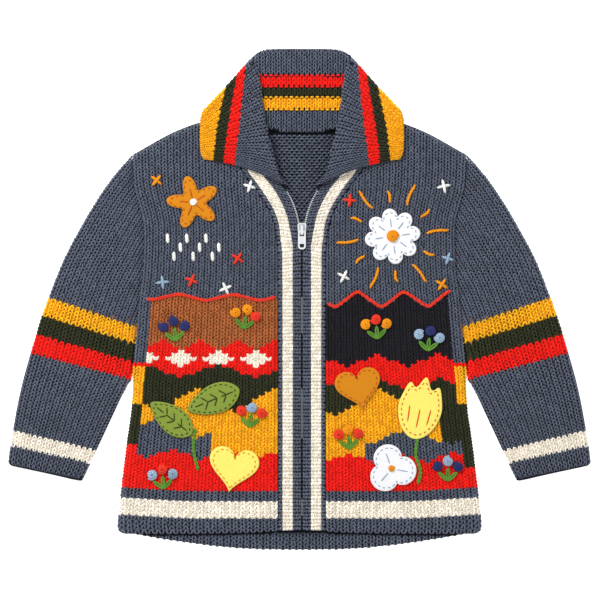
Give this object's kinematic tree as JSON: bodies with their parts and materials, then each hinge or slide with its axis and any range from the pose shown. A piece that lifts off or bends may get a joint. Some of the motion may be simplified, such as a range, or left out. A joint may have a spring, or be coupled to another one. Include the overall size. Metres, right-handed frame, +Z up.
{
  "type": "knitted zip cardigan",
  "caption": "Child's chunky knitted cardigan with a front zip, a wide fold-over collar, striped sleeves and felt motifs, laid flat on its back.",
  "frame": {"origin": "centre of the footprint, on the surface that the garment lies on", "axes": "+X across the sleeves towards the wearer's left sleeve, +Y from the hem to the collar, +Z up off the surface"},
  "size_m": [0.5848, 0.5013, 0.0159],
  "materials": {
    "body_knit": "chunky matt stocking stitch in slate grey wool, with stripes",
    "collar_knit": "matt rib and stocking stitch in slate wool, edged with red, green and yellow stripes",
    "band_knit": "matt stocking stitch in slate wool with a cream stripe",
    "zip_tape": "woven polyester tape",
    "zip_metal": "bright nickel-plated metal",
    "ochre_felt": "matt wool felt",
    "white_felt": "matt wool felt",
    "pale_felt": "matt wool felt",
    "olive_felt": "matt wool felt"
  },
  "bodies": {
    "garment": {"back": "body_knit", "front_right": "body_knit", "front_left": "body_knit", "sleeve_right": "body_knit", "sleeve_left": "body_knit", "collar": "collar_knit", "front_band_right": "band_knit", "front_band_left": "band_knit", "zip_tape_right": "zip_tape", "zip_tape_left": "zip_tape", "zip_slider": "zip_metal", "felt_star": "ochre_felt", "felt_daisy": "white_felt", "felt_leaf_low": "olive_felt", "felt_leaf_high": "olive_felt", "felt_heart_pale": "pale_felt", "felt_tulip": "pale_felt", "felt_heart_ochre": "ochre_felt", "felt_clover": "white_felt"},
    "pull_tab": {"zip_pull": "zip_metal"}
  },
  "joints": [
    {"name": "tab_hinge", "type": "hinge", "parent": "garment", "child": "pull_tab", "pos_m": [0.0024, 0.0673, 0.0112], "axis": [-1, 0, 0], "range_deg": [0, 140]}
  ]
}
